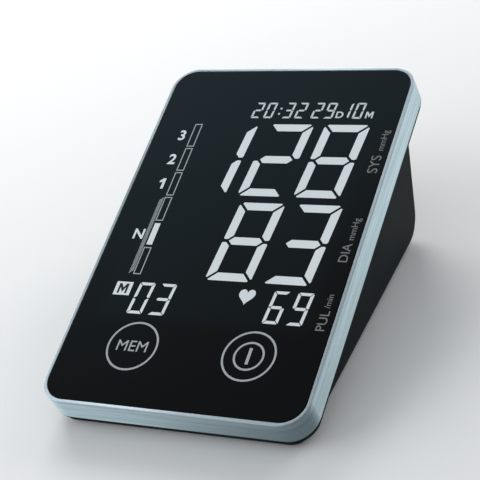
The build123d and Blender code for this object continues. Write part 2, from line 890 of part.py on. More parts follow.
crank_room = crank_radius + crank_throw + crank_gap
with BuildPart() as pump_case:
    add(block(case_left, motor_left, pump_place, pump_side, pump_side, pump_corner))
    add(rod(case_left, motor_left - case_wall, pump_place, crank_room), mode=Mode.SUBTRACT)
    add(rod(case_left, motor_left, pump_place, shaft_hole), mode=Mode.SUBTRACT)
write(pump_case, "pump_case")

with BuildPart() as pump_crank:
    add(rod(crank_left, motor_left + shaft_bite, pump_place, shaft_radius))
    add(rod(crank_left, crank_left + crank_length, (pump_y, pump_z + crank_throw), crank_radius))
write(pump_crank, "pump_crank")

with BuildPart() as pump_diaphragm:
    add(block(diaphragm_left, case_left, pump_place, pump_side, pump_side, pump_corner))
write(pump_diaphragm, "pump_diaphragm")

with BuildPart() as pump_cover:
    add(block(cover_left, diaphragm_left, pump_place, pump_side, pump_side, pump_corner))
    add(rod(pump_left, cover_left, pump_place, nozzle_radius))
    add(rod(pump_left, diaphragm_left, pump_place, nozzle_hole), mode=Mode.SUBTRACT)
write(pump_cover, "pump_cover")

# Release valve: a coil body, a plunger that a spring holds off the seat, and a cap with the seat
valve_place = (valve_y, valve_z)
valve_split = valve_left + cap_thickness
chamber = plunger_length + plunger_travel + plunger_gap
with BuildPart() as valve_body:
    add(rod(valve_split, valve_left + valve_length, valve_place, valve_radius))
    add(
        rod(valve_split, valve_split + chamber, valve_place, plunger_radius + plunger_gap),
        mode=Mode.SUBTRACT,
    )
write(valve_body, "valve_body")

with BuildPart() as valve_cap:
    add(rod(valve_left, valve_split, valve_place, valve_radius))
    add(rod(valve_left - nozzle_length, valve_left, valve_place, nozzle_radius))
    add(rod(valve_left - nozzle_length, valve_split, valve_place, nozzle_hole), mode=Mode.SUBTRACT)
write(valve_cap, "valve_cap")

plunger_left = valve_split + plunger_travel
with BuildPart() as valve_plunger:
    add(rod(plunger_left, plunger_left + plunger_length, valve_place, plunger_radius))
write(valve_plunger, "valve_plunger")

# Cuff socket: flange and bore outside, nozzle inside
socket_place = (socket_y, socket_z)
with BuildPart() as cuff_socket:
    add(rod(left_face, left_face + socket_flange, socket_place, socket_flange_radius))
    add(rod(left_face, socket_end, socket_place, socket_barrel_radius))
    add(rod(socket_end, socket_end + nozzle_length, socket_place, nozzle_radius))
    add(
        rod(left_face, left_face + socket_bore_length, socket_place, socket_bore_radius),
        mode=Mode.SUBTRACT,
    )
    add(rod(left_face, socket_end + nozzle_length, socket_place, nozzle_hole), mode=Mode.SUBTRACT)
write(cuff_socket, "cuff_socket")

# Manifold: a small cross that joins the socket, the sensor, the pump and the valve
with BuildPart() as air_manifold:
    add(
        block(
            manifold_x - manifold_half,
            manifold_x + manifold_half,
            socket_place,
            manifold_size,
            manifold_size,
            manifold_corner,
        )
    )
    add(rod(manifold_x - manifold_reach, manifold_x + manifold_reach, socket_place, nozzle_radius))
    with BuildSketch(Plane.XZ.offset(-(socket_y - manifold_reach))):
        with Locations((manifold_x, socket_z)):
            Circle(nozzle_radius)
    extrude(amount=-2 * manifold_reach)
    add(
        rod(manifold_x - manifold_reach, manifold_x + manifold_reach, socket_place, nozzle_hole),
        mode=Mode.SUBTRACT,
    )
    with BuildSketch(Plane.XZ.offset(-(socket_y - manifold_reach))):
        with Locations((manifold_x, socket_z)):
            Circle(nozzle_hole)
    extrude(amount=-2 * manifold_reach, mode=Mode.SUBTRACT)
write(air_manifold, "air_manifold")


def air_tube(*points):
    """A silicone tube along straight runs joined by arcs."""
    with BuildPart() as tube:
        with BuildLine() as route:
            if len(points) > 2:
                FilletPolyline(*points, radius=tube_bend)
            else:
                Line(*points)
        with BuildSketch(Plane(origin=route.line @ 0, z_dir=route.line % 0)):
            Circle(tube_radius)
            Circle(tube_bore, mode=Mode.SUBTRACT)
        sweep()
    return tube


tube_back = nozzle_length - tube_bite
write(
    air_tube(
        (socket_end + tube_back, socket_y, socket_z),
        (manifold_x - manifold_half - tube_back, socket_y, socket_z),
    ),
    "tube_socket",
)
sensor_bend = (manifold_x + manifold_half + sensor_left) / 2
write(
    air_tube(
        (manifold_x + manifold_half + tube_back, socket_y, socket_z),
        (sensor_bend - tube_bend, socket_y, socket_z),
        (sensor_bend + tube_bend, sensor_y, sensor_z),
        (sensor_left - tube_back, sensor_y, sensor_z),
    ),
    "tube_sensor",
)
write(
    air_tube(
        (manifold_x, socket_y + manifold_half + tube_back, socket_z),
        (manifold_x, mains_y, socket_z),
        (manifold_x, usb_y, pump_z),
        (manifold_x, pump_y, pump_z),
        (cover_left - tube_back, pump_y, pump_z),
    ),
    "tube_pump",
)
write(
    air_tube(
        (manifold_x, socket_y - manifold_half - tube_back, socket_z),
        (manifold_x, socket_y - manifold_half - 2 * nozzle_length, socket_z),
        (manifold_x, valve_y, valve_z),
        (valve_left - tube_back, valve_y, valve_z),
    ),
    "tube_valve",
)

# Mains and USB sockets on the port board
port_board_top = port_z - mains_width / 2
with BuildPart() as port_board:
    with BuildSketch(Plane.XY.offset(port_board_top)):
        with Locations((port_inner + port_gap, port_board_front)):
            Rectangle(port_board_width, port_board_rear - port_board_front, align=Align.MIN)
    extrude(amount=-port_board_thickness)
write(port_board, "port_board")

with BuildPart() as mains_socket:
    add(
        block(
            port_inner,
            port_inner + mains_length,
            (mains_y, port_z),
            mains_width,
            mains_width,
            port_gap,
        )
    )
    add(
        rod(port_inner, port_inner + mains_length - case_wall, (mains_y, port_z), mains_bore),
        mode=Mode.SUBTRACT,
    )
    add(rod(port_inner + port_gap, port_inner + mains_length, (mains_y, port_z), mains_pin))
write(mains_socket, "mains_socket")

usb_place = (usb_y, port_z)
with BuildPart() as usb_socket:
    add(block(port_inner, port_inner + usb_length, usb_place, usb_width, usb_opening_height, port_gap))
    add(
        block(
            port_inner,
            port_inner + usb_length - case_wall,
            usb_place,
            usb_width - 2 * usb_shell,
            usb_opening_height - 2 * usb_shell,
            port_gap / 2,
        ),
        mode=Mode.SUBTRACT,
    )
    add(
        block(
            port_inner + port_gap,
            port_inner + usb_length,
            usb_place,
            usb_width / 2,
            usb_tongue,
            port_gap / 2,
        )
    )
    with BuildSketch(Plane.XY.offset(port_board_top)):
        with Locations((port_inner + usb_length / 2, usb_y)):
            Rectangle(usb_length / 2, usb_width / 2)
    extrude(amount=port_z - usb_opening_height / 2 + usb_shell / 2 - port_board_top)
write(usb_socket, "usb_socket")
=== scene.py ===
"""Table-top upper-arm blood pressure monitor with a touch display: its looks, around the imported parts.

Metres, in the frame of the parts: +X right, +Y away from the user, +Z up, origin on the table.
"""

import json
from math import cos, pi, radians, sin

import bmesh
import bpy
from mathutils import Matrix, Quaternion, Vector

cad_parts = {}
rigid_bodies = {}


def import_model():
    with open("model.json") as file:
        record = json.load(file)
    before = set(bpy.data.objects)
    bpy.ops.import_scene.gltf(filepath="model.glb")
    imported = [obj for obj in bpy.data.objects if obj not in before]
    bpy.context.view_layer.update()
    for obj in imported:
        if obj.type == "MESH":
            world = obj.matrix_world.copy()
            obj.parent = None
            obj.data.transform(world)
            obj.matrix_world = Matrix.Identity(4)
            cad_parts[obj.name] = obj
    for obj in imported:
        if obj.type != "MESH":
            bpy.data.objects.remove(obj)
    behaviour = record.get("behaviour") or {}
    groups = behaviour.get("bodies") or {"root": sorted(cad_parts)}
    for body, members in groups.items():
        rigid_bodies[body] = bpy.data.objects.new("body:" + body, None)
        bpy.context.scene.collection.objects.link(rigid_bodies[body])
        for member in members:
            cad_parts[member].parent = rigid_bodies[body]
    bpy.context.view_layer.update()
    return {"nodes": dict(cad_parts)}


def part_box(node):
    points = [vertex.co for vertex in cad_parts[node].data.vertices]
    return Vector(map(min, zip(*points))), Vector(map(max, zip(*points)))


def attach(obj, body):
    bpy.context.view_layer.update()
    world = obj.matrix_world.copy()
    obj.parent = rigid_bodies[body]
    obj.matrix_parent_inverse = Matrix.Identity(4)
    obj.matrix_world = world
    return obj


for stray in list(bpy.data.objects):
    bpy.data.objects.remove(stray)

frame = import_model()
nodes = frame["nodes"]


# Rear housing. One deep moulding of black ABS, a shallow tray behind the slab and a hollow wedge
# under it. The tool's spark-eroded walls give it a fine grain, and hands rub it smoother in places.
class Link:
    """An output of a shader node. Arithmetic on links adds Math nodes."""

    def __init__(self, finish, socket):
        self.finish = finish
        self.socket = socket

    def math(self, operation, *values):
        return self.finish.node("Math", {"operation": operation}, dict(enumerate(values)))

    def __add__(self, other):
        return self.math("ADD", self, other)

    def __radd__(self, other):
        return self.math("ADD", other, self)

    def __sub__(self, other):
        return self.math("SUBTRACT", self, other)

    def __rsub__(self, other):
        return self.math("SUBTRACT", other, self)

    def __mul__(self, other):
        return self.math("MULTIPLY", self, other)

    def __rmul__(self, other):
        return self.math("MULTIPLY", other, self)

    def __truediv__(self, other):
        return self.math("DIVIDE", self, other)

    def __rtruediv__(self, other):
        return self.math("DIVIDE", other, self)

    def __pow__(self, other):
        return self.math("POWER", self, other)

    def __gt__(self, other):
        return self.math("GREATER_THAN", self, other)

    def __lt__(self, other):
        return self.math("LESS_THAN", self, other)

    def __abs__(self):
        return self.math("ABSOLUTE", self)


class Finish:
    """A material, or a world, while its nodes are put together."""

    def __init__(self, name, kind="materials"):
        self.data = getattr(bpy.data, kind).new(name)
        self.data.use_nodes = True
        self.tree = self.data.node_tree
        self.tree.nodes.clear()

    def node(self, kind, settings=None, sockets=None, output=0):
        """Adds a node: its settings first, then the values or links of its sockets."""
        made = self.tree.nodes.new("ShaderNode" + kind)
        for key, value in (settings or {}).items():
            setattr(made, key, value)
        for key, value in (sockets or {}).items():
            if isinstance(value, Link):
                self.tree.links.new(value.socket, made.inputs[key])
            else:
                made.inputs[key].default_value = value
        return Link(self, made.outputs[output]) if made.outputs else None

    def place(self):
        """Where a point of the piece lies, in the parts' frame."""
        return self.node("TexCoord", output="Object")

    def axis(self, place, direction):
        """How far a place lies along a direction."""
        return self.node("VectorMath", {"operation": "DOT_PRODUCT"}, {0: place, 1: direction}, "Value")

    def stretch(self, place, factors):
        """A place with each coordinate multiplied."""
        return self.node("VectorMath", {"operation": "MULTIPLY"}, {0: place, 1: factors})

    def noise(self, place, size, detail=2.0):
        """Soft noise from 0 to 1, with lumps of this size."""
        return self.node("TexNoise", {}, {"Vector": place, "Scale": 1 / size, "Detail": detail})

    def mix(self, factor, first, second):
        """A colour between two others."""
        ends = [(*end, 1.0) if isinstance(end, tuple) else end for end in (first, second)]
        sockets = {0: factor, 6: ends[0], 7: ends[1]}
        return self.node("Mix", {"data_type": "RGBA"}, sockets, 2)

    def ramp(self, value, low, high):
        """0 below low, 1 above high, and a smooth rise between them."""
        settings = {"interpolation_type": "SMOOTHSTEP"}
        return self.node("MapRange", settings, {"Value": value, "From Min": low, "From Max": high})

    def bump(self, height, depth):
        """A normal for a relief this deep, in metres."""
        return self.node("Bump", {}, {"Strength": 1.0, "Distance": depth, "Height": height})

    def surface(self, sockets):
        """Closes the material with a shader that has these values and links."""
        shader = self.node("BsdfPrincipled", {}, sockets)
        self.node("OutputMaterial", {}, {"Surface": shader})
        return self.data


def moulded_plastic(name, colour, roughness, grain=0.00045):
    """Injection-moulded plastic: a fine grain, broad rubbed patches and a little dust."""
    finish = Finish(name)
    place = finish.place()
    patch_size = 0.022
    pit_depth = 0.000012
    pits = finish.noise(place, grain, 3.0)
    rubbed = finish.noise(place, patch_size, 4.0)
    paler = tuple(value * 1.35 + 0.002 for value in colour)
    return finish.surface(
        {
            "Base Color": finish.mix(rubbed, colour, paler),
            "Roughness": roughness + (rubbed - 0.5) * 0.18 + (pits - 0.5) * 0.1,
            "Specular IOR Level": 0.08,
            "Normal": finish.bump(pits, pit_depth),
        }
    )


def dress(material, *names):
    """Gives part nodes a material."""
    for name in names:
        for holder in nodes[name].material_slots:
            holder.material = material


dress(moulded_plastic("housing_abs", (0.006, 0.0095, 0.011), 0.56), "rear_housing")

# Battery door. A second moulding of the same black plastic. It slides out to the rear on two
# tongues, and the fingers' ribs near its heel are polished by use.
dress(moulded_plastic("door_abs", (0.0075, 0.011, 0.0125), 0.46), "battery_door")

# Rubber feet. Four soft black discs, punched from sheet and glued in round recesses of the base.
# Their open pores hold dust.
dust_size = 0.0022
pore_size = 0.0003
rubber = Finish("foot_rubber")
rubber_dust = rubber.noise(rubber.place(), dust_size, 5.0)
rubber_pores = rubber.noise(rubber.place(), pore_size)
dress(
    rubber.surface(
        {
            "Base Color": rubber.mix(rubber_dust, (0.014, 0.014, 0.015), (0.045, 0.044, 0.042)),
            "Roughness": 0.7 + rubber_dust * 0.2,
            "Specular IOR Level": 0.3,
            "Normal": rubber.bump(rubber_pores, 0.00001),
        }
    ),
    "rubber_feet",
)


# Screws. Zinc-plated steel with pan heads, driven down the housing's tunnels into the bezel's
# posts, and four shorter ones that hold the main board.
def plated_metal(name, colour, roughness, grain=0.0006):
    """Rolled or turned metal with a thin plating: faint stains and fine tool marks."""
    finish = Finish(name)
    place = finish.place()
    stain_size = 0.004
    mark_depth = 0.000004
    stain = finish.noise(place, stain_size, 4.0)
    marks = finish.noise(place, grain, 2.0)
    duller = tuple(value * 0.72 for value in colour)
    return finish.surface(
        {
            "Base Color": finish.mix(stain, duller, colour),
            "Metallic": 1.0,
            "Roughness": roughness + marks * 0.16,
            "Normal": finish.bump(marks, mark_depth),
        }
    )


dress(plated_metal("zinc_screws", (0.62, 0.63, 0.64), 0.28), "housing_screws", "board_screws")

# Battery cells. Four AA cells in printed sleeves, every second one turned round. The sleeve stops
# short of the plain steel at both ends, and a copper band marks the positive end.
sleeve_start = 0.02
band_start = 0.70
sleeve_end = 0.955


def battery_sleeve(name, low, high, positive_at_high):
    """A sleeve that runs along +Y between two places, with its band at the positive end."""
    finish = Finish(name)
    scuff_size = 0.003
    share = (finish.axis(finish.place(), (0.0, 1.0, 0.0)) - low) / (high - low)
    if not positive_at_high:
        share = 1 - share
    scuffs = finish.noise(finish.place(), scuff_size, 5.0)
    band = finish.ramp(share, band_start, band_start + 0.005)
    print_colour = finish.mix(band, (0.020, 0.021, 0.024), (0.42, 0.17, 0.07))
    bare = (share > sleeve_end) + (share < sleeve_start)
    return finish.surface(
        {
            "Base Color": finish.mix(bare, print_colour, (0.60, 0.60, 0.58)),
            "Metallic": bare + band * 0.5,
            "Roughness": 0.24 + scuffs * 0.18,
            "Normal": finish.bump(scuffs, 0.000006),
        }
    )


for cell_number in range(1, 5):
    cell = f"battery_cell_{cell_number}"
    cell_low, cell_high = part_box(cell)
    turned_round = cell_number % 2 == 0
    dress(battery_sleeve(f"sleeve_{cell_number}", cell_low.y, cell_high.y, not turned_round), cell)

# Contacts. Stamped, nickel-plated steel: flat plates on the bay's end walls, and bowed springs
# that push the cells against them.
dress(plated_metal("nickel_contacts", (0.68, 0.66, 0.61), 0.22), "contact_plates", "contact_springs")


# Circuit boards. Glass-epoxy laminate under a green solder mask, with copper tracks that show
# through it as paler lines and tinned through-holes.
def circuit_board(name):
    """Solder mask over copper: patches of fine tracks, some across and some along, and plated holes."""
    finish = Finish(name)
    place = finish.place()
    track_pitch = 0.0012
    patch_scale = 85.0
    hole_scale = 220.0
    hole_radius = 0.09
    track_height = 0.00003

    def tracks_across(direction):
        steps = finish.axis(place, direction) / track_pitch
        return finish.ramp(steps.math("PINGPONG", steps, 0.5), 0.20, 0.15)

    square = {"distance": "CHEBYCHEV"}
    patch = finish.node("TexVoronoi", square, {"Vector": place, "Scale": patch_scale}, "Color")
    pick = finish.node("SeparateColor", {}, {"Color": patch})
    tracks = tracks_across((1.0, 0.0, 0.0)) * (pick < 0.34)
    tracks = tracks + tracks_across((0.0, 1.0, 0.3)) * (pick > 0.60)
    to_hole = finish.node("TexVoronoi", {}, {"Vector": place, "Scale": hole_scale}, "Distance")
    holes = to_hole < hole_radius
    mask = finish.mix(tracks, (0.006, 0.055, 0.022), (0.018, 0.120, 0.045))
    return finish.surface(
        {
            "Base Color": finish.mix(holes, mask, (0.55, 0.55, 0.53)),
            "Metallic": holes * 0.9,
            "Roughness": 0.30 + finish.noise(place, 0.0012) * 0.15,
            "Normal": finish.bump(tracks, track_height),
        }
    )


dress(circuit_board("solder_mask"), "main_board", "port_board")

# Parts on the boards. Black epoxy packages, a black buzzer and a grey pressure sensor, all matt
# from the moulding press.
dress(moulded_plastic("epoxy_packages", (0.013, 0.013, 0.014), 0.52, 0.0003), "board_chips", "buzzer")
dress(moulded_plastic("sensor_plastic", (0.20, 0.21, 0.22), 0.48), "pressure_sensor")


# Display module. A negative glass cell over a clear acrylic light guide, in a white holder that
# clips to the board. Conductive rubber strips join the cell's edges to the board.
def clear_plastic(name, colour, roughness):
    """Clear acrylic: a moulded skin with very slight waves."""
    finish = Finish(name)
    wave_size = 0.006
    waves = finish.noise(finish.place(), wave_size, 3.0)
    dimmer = tuple(value * 0.9 for value in colour)
    return finish.surface(
        {
            "Base Color": finish.mix(waves, colour, dimmer),
            "Roughness": roughness + waves * 0.05,
            "Transmission Weight": 0.85,
            "IOR": 1.49,
            "Normal": finish.bump(waves, 0.00001),
        }
    )


def cell_glass(name):
    """The display cell: dark polariser over glass, with its electrode grid barely visible."""
    finish = Finish(name)
    place = finish.place()
    grid_scale = 160.0
    square = {"distance": "CHEBYCHEV"}
    grid = finish.node("TexVoronoi", square, {"Vector": place, "Scale": grid_scale}, "Distance")
    lines = finish.ramp(grid, 0.45, 0.5)
    return finish.surface(
        {
            "Base Color": finish.mix(lines, (0.012, 0.018, 0.028), (0.03, 0.04, 0.055)),
            "Roughness": 0.09 + finish.noise(place, 0.01) * 0.05,
            "Coat Weight": 0.6,
        }
    )


dress(cell_glass("display_glass"), "display_cell")
dress(clear_plastic("light_guide_acrylic", (0.86, 0.90, 0.93), 0.08), "backlight_guide")
dress(clear_plastic("key_ring_acrylic", (0.80, 0.86, 0.92), 0.22), "key_light_rings")
dress(moulded_plastic("white_holder", (0.70, 0.70, 0.68), 0.42), "display_holder")
soft_rubber = moulded_plastic("conductive_rubber", (0.03, 0.03, 0.032), 0.68, 0.0002)
dress(soft_rubber, "strip_connectors", "touch_electrodes")

# Air pump. A small motor can in a rubber sleeve, with a grey case for the crank, a rubber
# diaphragm and a grey cover with the outlet nozzle.
dress(plated_metal("motor_can", (0.58, 0.58, 0.57), 0.25, 0.0012), "pump_motor", "pump_crank")
dress(moulded_plastic("pump_rubber", (0.02, 0.02, 0.021), 0.75), "pump_sleeve", "pump_diaphragm")
dress(moulded_plastic("pump_plastic", (0.085, 0.09, 0.095), 0.45), "pump_case", "pump_cover")

# Release valve. A plated solenoid can with a steel plunger, and a moulded grey cap that holds the
# seat. The manifold that joins the tubes is moulded of the same plastic.
dress(plated_metal("valve_can", (0.60, 0.59, 0.56), 0.26), "valve_body", "valve_plunger")
dress(moulded_plastic("valve_plastic", (0.10, 0.105, 0.11), 0.45), "valve_cap", "air_manifold")


# Air tubes. Soft milky silicone, extruded, cut to length and pushed over the nozzles of the pump,
# the valve, the pressure sensor and the cuff socket.
def silicone(name):
    """Milky silicone: cloudy and slightly tacky."""
    finish = Finish(name)
    cloud_size = 0.005
    cloud = finish.noise(finish.place(), cloud_size, 3.0)
    return finish.surface(
        {
            "Base Color": finish.mix(cloud, (0.62, 0.65, 0.66), (0.74, 0.76, 0.77)),
            "Roughness": 0.36 + cloud * 0.14,
            "Subsurface Weight": 0.15,
            "Subsurface Scale": 0.002,
            "Normal": finish.bump(cloud, 0.00002),
        }
    )


dress(silicone("tube_silicone"), "tube_socket", "tube_sensor", "tube_pump", "tube_valve")

# Cuff socket. A grey moulded sleeve with a flange, pressed into the housing's left side. The
# cuff's air plug is pushed into its bore.
dress(moulded_plastic("socket_plastic", (0.055, 0.058, 0.062), 0.36), "cuff_socket")


# Mains socket. A moulded black block with a nickel-plated centre pin, soldered to the port board
# behind a round hole in the housing's left side.
def socket_with_pin(name, axis_y, axis_z, pin_radius):
    """Black plastic, and bright metal within a radius of an axis along X."""
    finish = Finish(name)
    place = finish.place()
    grain_size = 0.0005
    off_y = finish.axis(place, (0.0, 1.0, 0.0)) - axis_y
    off_z = finish.axis(place, (0.0, 0.0, 1.0)) - axis_z
    pin = (off_y * off_y + off_z * off_z) ** 0.5 < pin_radius
    grain = finish.noise(place, grain_size)
    return finish.surface(
        {
            "Base Color": finish.mix(pin, (0.014, 0.014, 0.015), (0.66, 0.63, 0.56)),
            "Metallic": pin,
            "Roughness": 0.45 - pin * 0.2 + grain * 0.1,
            "Normal": finish.bump(grain, 0.000008),
        }
    )


mains_low, mains_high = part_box("mains_socket")
mains_axis = (mains_low + mains_high) / 2
mains_pin_radius = 0.00115
dress(socket_with_pin("mains_plastic", mains_axis.y, mains_axis.z, mains_pin_radius), "mains_socket")

# USB socket. A shell folded from tinned steel, with a tongue inside, soldered to the port board
# beside the mains socket.
dress(plated_metal("usb_shell", (0.66, 0.66, 0.65), 0.24), "usb_socket")

# Lens tape. A frame punched from black foam, sticky on both sides. It holds the lens on the
# bezel's ledge and keeps dust out.
dress(moulded_plastic("foam_tape", (0.02, 0.02, 0.02), 0.8, 0.0002), "lens_tape")

# Front lens. One sheet of toughened glass, printed black from behind, with a clear window over
# the display. The window is a little bluer than the black border round it.
lens_mesh = nodes["front_lens"].data
lens_top_faces = [face for face in lens_mesh.polygons if face.normal.z > 0]
lens_out = max(lens_top_faces, key=lambda face: face.area).normal.copy()
lens_up = Vector((0.0, lens_out.z, -lens_out.y))
lens_low, lens_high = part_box("front_lens")
lens_width = lens_high.x - lens_low.x
lens_face = max(point.co.dot(lens_out) for point in lens_mesh.vertices)
lens_top = max(point.co.dot(lens_up) for point in lens_mesh.vertices)
lens_foot = min(point.co.dot(lens_up) for point in lens_mesh.vertices)
window_across = 0.082
window_top = lens_top - 0.0145
window_foot = lens_foot + 0.0345
window_blur = 0.004


def glass_finish(name, window_tint, border_tint):
    """Black-backed glass: a faint window, a painted reflection that makes it paler toward its upper left,
    and smears from fingers.
    """
    finish = Finish(name)
    place = finish.place()
    cloud_size = 0.05
    smear_size = 0.012
    across = abs(finish.axis(place, (1.0, 0.0, 0.0)))
    up = finish.axis(place, tuple(lens_up))
    inside = finish.ramp(across, window_across / 2 + window_blur, window_across / 2 - window_blur)
    inside = inside * finish.ramp(up, window_foot - window_blur, window_foot + window_blur)
    inside = inside * finish.ramp(up, window_top + window_blur, window_top - window_blur)
    # Painted reflection: the border takes the window's bluer tint toward the upper left, as if a dim lamp
    # were mirrored there.
    toward_painted_reflection = up - finish.axis(place, (0.6, 0.0, 0.0))
    paler = finish.ramp(toward_painted_reflection, lens_foot, lens_top + 0.02)
    border_with_painted_reflection = finish.mix(paler, border_tint, window_tint)
    cloud = finish.noise(place, cloud_size, 2.0)
    smears = finish.noise(finish.stretch(place, (1.0, 0.35, 1.0)), smear_size, 5.0)
    return finish.surface(
        {
            "Base Color": finish.mix(inside * (0.15 + cloud * 0.2), border_with_painted_reflection, window_tint),
            "Roughness": 0.03 + finish.ramp(smears, 0.55, 0.8) * 0.05,
            "IOR": 1.15,
        }
    )


window_colour = (0.0060, 0.0140, 0.0190)
border_colour = (0.0004, 0.0010, 0.0014)
dress(glass_finish("black_backed_glass", window_colour, border_colour), "front_lens")

# Figures of the display. Bars of the negative cell that let the light through, under the lens.
# The drawing is laid out in lens widths, across from the left edge and down from the top edge.
glass_axes = Matrix((Vector((1.0, 0.0, 0.0)), lens_up, lens_out)).transposed() * lens_width
glass_corner = Vector((lens_low.x, 0.0, 0.0)) + lens_up * lens_top + lens_out * lens_face
glass = Matrix.Translation(glass_corner) @ glass_axes.to_4x4()
inlay_foot = -0.0003
inlay_top = 0.0003


def on_glass(across, down, lift):
    """A place on the lens, in metres."""
    return glass @ Vector((across, -down, lift))


def add_plate(mesh, outline, lift=0.0):
    """A thin closed plate with this outline."""
    foot = [mesh.verts.new(on_glass(*point, inlay_foot + lift)) for point in outline]
    top = [mesh.verts.new(on_glass(*point, inlay_top + lift)) for point in outline]
    mesh.faces.new(top)
    mesh.faces.new(foot[::-1])
    for here in range(len(outline)):
        after = (here + 1) % len(outline)
        mesh.faces.new((foot[here], foot[after], top[after], top[here]))


def add_band(mesh, outer, inner):
    """A thin closed band between two outlines that have as many points."""
    rows = [(outer, inlay_foot), (outer, inlay_top), (inner, inlay_top), (inner, inlay_foot)]
    loops = [[mesh.verts.new(on_glass(*point, lift)) for point in outline] for outline, lift in rows]
    for row in range(len(loops)):
        this, that = loops[row], loops[(row + 1) % len(loops)]
        for here in range(len(outer)):
            after = (here + 1) % len(outer)
            mesh.faces.new((this[here], this[after], that[after], that[here]))


def box_outline(left, top, right, bottom):
    """The corners of an upright box on the lens."""
    return [(left, top), (right, top), (right, bottom), (left, bottom)]


def join_lens(name, data, material):
    """Makes mesh data into a piece that rides with the lens."""
    data.materials.append(material)
    piece = bpy.data.objects.new(name, data)
    bpy.context.scene.collection.objects.link(piece)
    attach(piece, "monitor")


def lay_in(mesh, name, material):
    """Closes a drawing and joins it to the lens."""
    bmesh.ops.recalc_face_normals(mesh, faces=mesh.faces)
    data = bpy.data.meshes.new(name)
    mesh.to_mesh(data)
    mesh.free()
    join_lens(name, data, material)


def lit_finish(name, colour, glow):
    """Light through the glass: pale, even, and a touch uneven from the light guide."""
    finish = Finish(name)
    patch_size = 0.018
    uneven = finish.noise(finish.place(), patch_size, 2.0)
    dimmer = tuple(value * 0.9 for value in colour)
    shade = finish.mix(uneven, dimmer, colour)
    return finish.surface(
        {
            "Base Color": shade,
            "Roughness": 0.12 + uneven * 0.04,
            "IOR": 1.25,
            "Emission Color": shade,
            "Emission Strength": glow,
        }
    )


figure_bars = {
    "0": "abcdef",
    "1": "bc",
    "2": "abdeg",
    "3": "abcdg",
    "6": "acdefg",
    "8": "abcdefg",
    "9": "abcdfg",
}
figure_lean = 0.08


def figure_outlines(width, height, stroke, gap):
    """The seven bars of a figure, from its top left corner, with their outer tips cut off."""
    middle, half = height / 2, stroke / 2
    left, right = stroke + gap, width - stroke - gap
    cut = stroke * 0.45
    tip = (cut - gap) / 2
    top = [
        (cut, 0),
        (width - cut, 0),
        (width - gap - tip, tip),
        (right, stroke),
        (left, stroke),
        (gap + tip, tip),
    ]
    side = [
        (width, cut),
        (width, middle - gap - tip),
        (width - tip, middle - gap),
        (width - half, middle - gap),
        (width - stroke, middle - half - gap),
        (width - stroke, stroke + gap),
        (width - tip, gap + tip),
    ]
    waist = [
        (half + gap, middle),
        (left, middle - half),
        (right, middle - half),
        (width - half - gap, middle),
        (right, middle + half),
        (left, middle + half),
    ]
    return {
        "a": top,
        "b": side,
        "c": [(x, height - y) for x, y in side],
        "d": [(x, height - y) for x, y in top],
        "e": [(width - x, height - y) for x, y in side],
        "f": [(width - x, y) for x, y in side],
        "g": waist,
    }


def add_figures(mesh, text, last_left, top, pitch, width, height, stroke, gap):
    """A row of leaning figures, set from its last one's foot to the left."""
    outlines = figure_outlines(width, height, stroke, gap)
    for place, figure in enumerate(reversed(text)):
        left = last_left - place * pitch
        for bar in figure_bars[figure]:
            leaning = [(left + x + figure_lean * (height - y), top + y) for x, y in outlines[bar]]
            add_plate(mesh, leaning)


lit_white = lit_finish("lit_figures", (0.64, 0.69, 0.71), 0.12)
lit_fine = lit_finish("lit_fine_figures", (0.56, 0.60, 0.62), 0.08)
reading_pitch = 0.226
reading_width = 0.1815
reading_stroke_and_gap = (0.034, 0.007)
readings = bmesh.new()
for text, last_left, top, height in (
    ("28", 0.688, 0.275, 0.345),
    ("1", 0.230, 0.275, 0.345),
    ("83", 0.688, 0.652, 0.349),
):
    spread = (reading_pitch, reading_width, height)
    add_figures(readings, text, last_left, top, *spread, *reading_stroke_and_gap)
lay_in(readings, "reading_figures", lit_white)

small_top = 1.030
small_height = 0.135
small_stroke_and_gap = (0.012, 0.002)
small_figures = bmesh.new()
for text, last_left, pitch, width in (("69", 0.830, 0.090, 0.060), ("03", 0.290, 0.088, 0.064)):
    spread = (pitch, width, small_height)
    add_figures(small_figures, text, last_left, small_top, *spread, *small_stroke_and_gap)
lay_in(small_figures, "small_figures", lit_white)

clock_top = 0.166
clock_height = 0.078
clock_width = 0.037
clock_stroke = 0.008
clock_gap = 0.0015
dots_foot_left = 0.5005
clock = bmesh.new()
for text, last_left, pitch in (
    ("20", 0.444, 0.052),
    ("32", 0.574, 0.052),
    ("29", 0.694, 0.052),
    ("10", 0.810, 0.051),
):
    spread = (pitch, clock_width, clock_height)
    add_figures(clock, text, last_left, clock_top, *spread, clock_stroke, clock_gap)
for dot_share in (0.33, 0.67):
    dot_down = clock_top + clock_height * dot_share
    dot_left = dots_foot_left + figure_lean * clock_height * (1 - dot_share)
    add_plate(clock, box_outline(dot_left, dot_down, dot_left + clock_stroke, dot_down + clock_stroke))
lay_in(clock, "clock_figures", lit_fine)


# Words and signs of the display. Letters and numbers beside the scale and the clock, a heart for the
# pulse, and grey words printed behind the lens's right edge.
letter_depth = 0.02


